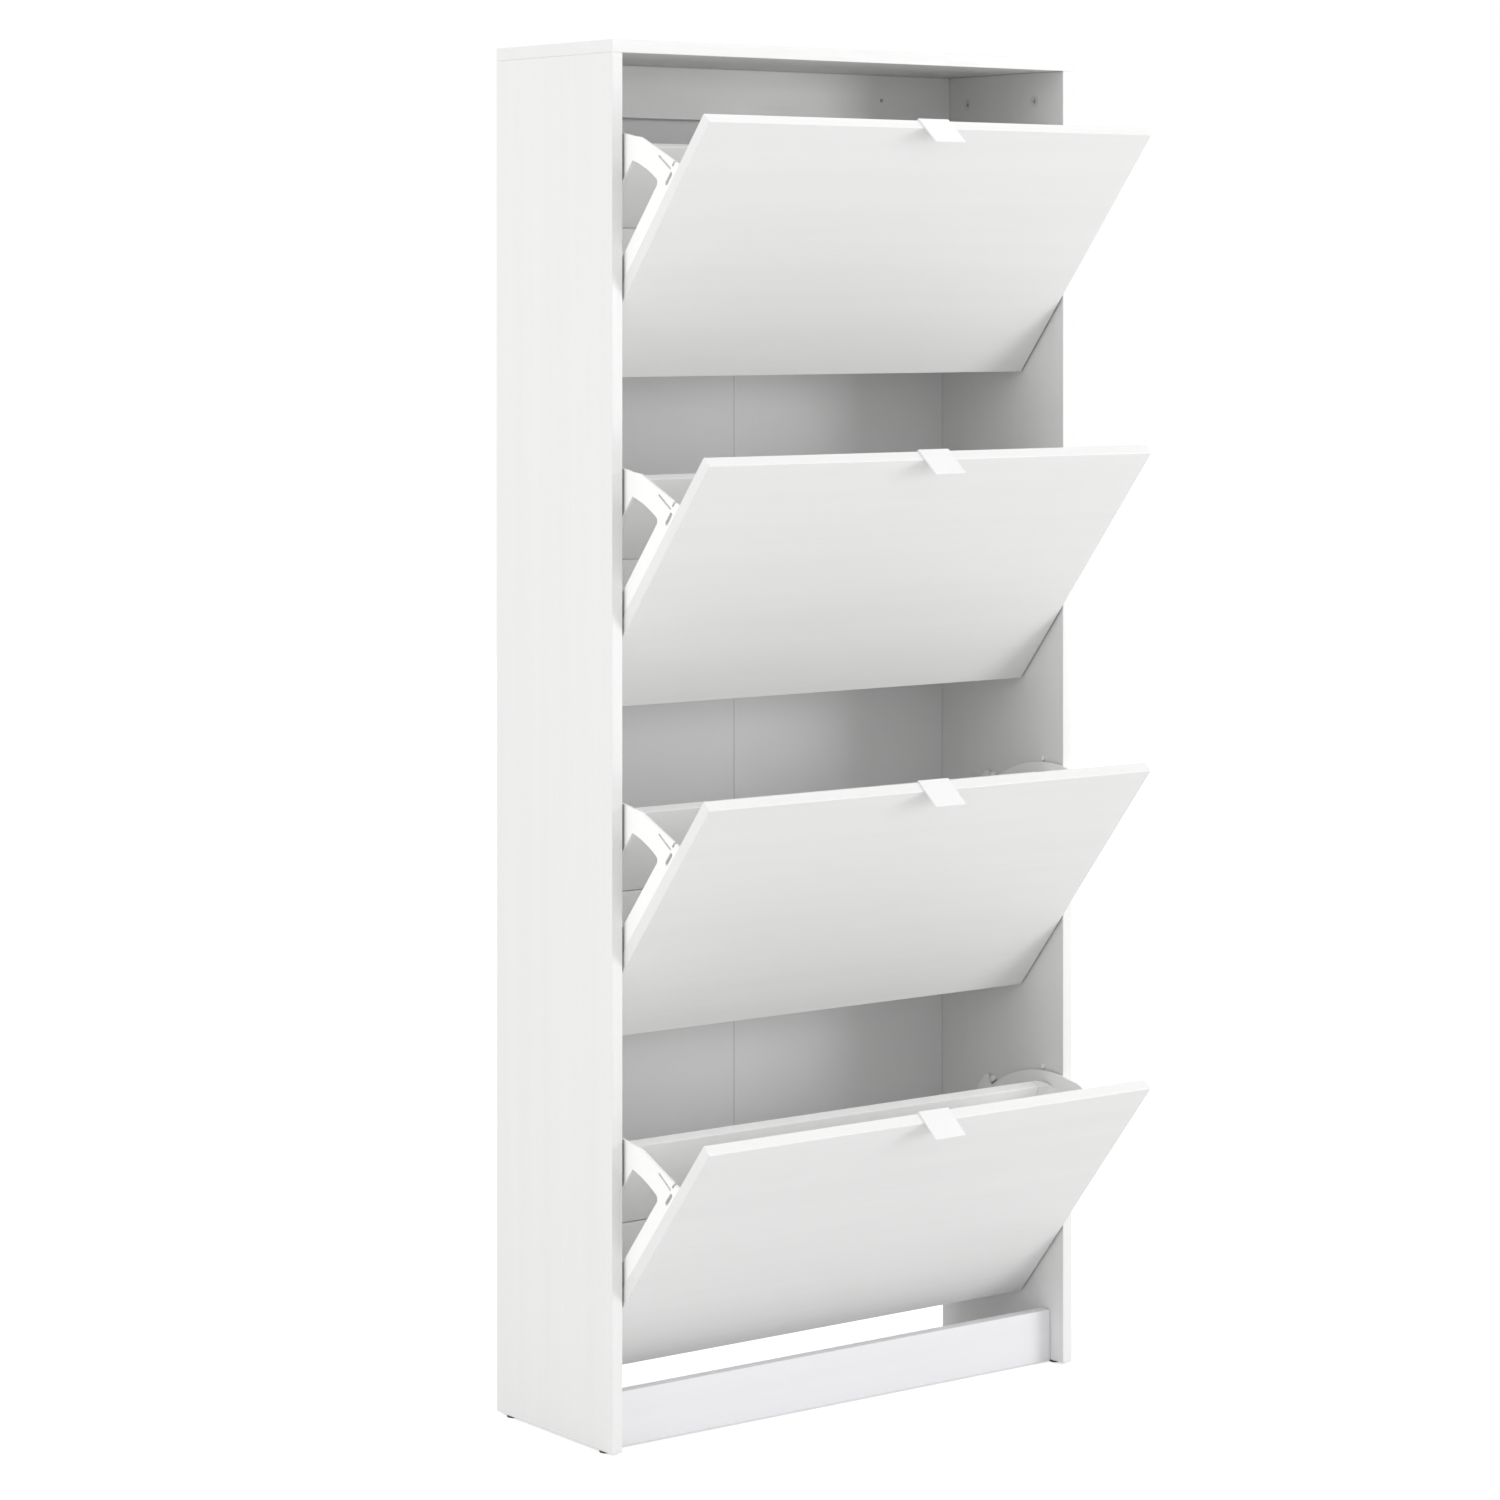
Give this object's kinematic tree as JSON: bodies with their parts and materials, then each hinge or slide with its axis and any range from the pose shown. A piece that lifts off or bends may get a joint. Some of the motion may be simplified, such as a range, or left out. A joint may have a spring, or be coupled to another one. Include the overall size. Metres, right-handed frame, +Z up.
{
  "type": "shoe cabinet",
  "caption": "Tall white shoe cabinet with tilting front flaps, each carrying a sloped shoe tray between moulded side fittings.",
  "frame": {"origin": "floor level, under the centre of the whole object with every flap open", "axes": "+X to the right seen from the front, -Y is the front, +Z up"},
  "size_m": [0.705, 0.427, 1.635],
  "materials": {
    "white_laminate": "satin melamine",
    "back_sheet": "painted hardboard",
    "white_plastic": "fine matte moulding",
    "handle_metal": "white powder coat",
    "zinc_hardware": "zinc plated",
    "dowel_wood": "fluted beech",
    "glide_plastic": "hard grey plastic",
    "seam_tape": "white paper tape"
  },
  "bodies": {
    "carcass": {"side_panel_left": "white_laminate", "side_panel_right": "white_laminate", "top_panel": "white_laminate", "back_rail": "white_laminate", "plinth_board": "white_laminate", "back_panel_left": "back_sheet", "back_panel_right": "back_sheet", "back_panel_tape": "seam_tape", "glide_feet": "glide_plastic", "cam_locks": "zinc_hardware", "cam_bolts": "zinc_hardware", "wood_dowels": "dowel_wood", "back_nails": "zinc_hardware", "pivot_pins": "white_plastic", "stop_pegs": "white_plastic", "side_studs": "white_plastic"},
    "flap_1": {"flap_1_front": "white_laminate", "flap_1_handle": "handle_metal", "flap_1_handle_screws": "zinc_hardware", "flap_1_fitting_right": "white_plastic", "flap_1_fitting_left": "white_plastic", "flap_1_fitting_screws": "zinc_hardware", "flap_1_back_board": "white_laminate", "flap_1_floor_board": "white_laminate"},
    "flap_2": {"flap_2_front": "white_laminate", "flap_2_handle": "handle_metal", "flap_2_handle_screws": "zinc_hardware", "flap_2_fitting_right": "white_plastic", "flap_2_fitting_left": "white_plastic", "flap_2_fitting_screws": "zinc_hardware", "flap_2_back_board": "white_laminate", "flap_2_floor_board": "white_laminate"},
    "flap_3": {"flap_3_front": "white_laminate", "flap_3_handle": "handle_metal", "flap_3_handle_screws": "zinc_hardware", "flap_3_fitting_right": "white_plastic", "flap_3_fitting_left": "white_plastic", "flap_3_fitting_screws": "zinc_hardware", "flap_3_back_board": "white_laminate", "flap_3_floor_board": "white_laminate"},
    "flap_4": {"flap_4_front": "white_laminate", "flap_4_handle": "handle_metal", "flap_4_handle_screws": "zinc_hardware", "flap_4_fitting_right": "white_plastic", "flap_4_fitting_left": "white_plastic", "flap_4_fitting_screws": "zinc_hardware", "flap_4_back_board": "white_laminate", "flap_4_floor_board": "white_laminate"}
  },
  "joints": [
    {"name": "flap_1_tilt", "type": "hinge", "parent": "carcass", "child": "flap_1", "pos_m": [0, -0.00042, 1.3455], "axis": [1, 0, 0], "range_deg": [-39.8, 0]},
    {"name": "flap_2_tilt", "type": "hinge", "parent": "carcass", "child": "flap_2", "pos_m": [0, -0.00042, 0.958], "axis": [1, 0, 0], "range_deg": [-39.8, 0]},
    {"name": "flap_3_tilt", "type": "hinge", "parent": "carcass", "child": "flap_3", "pos_m": [0, -0.00042, 0.5705], "axis": [1, 0, 0], "range_deg": [-39.8, 0]},
    {"name": "flap_4_tilt", "type": "hinge", "parent": "carcass", "child": "flap_4", "pos_m": [0, -0.00042, 0.183], "axis": [1, 0, 0], "range_deg": [-39.8, 0]}
  ]
}
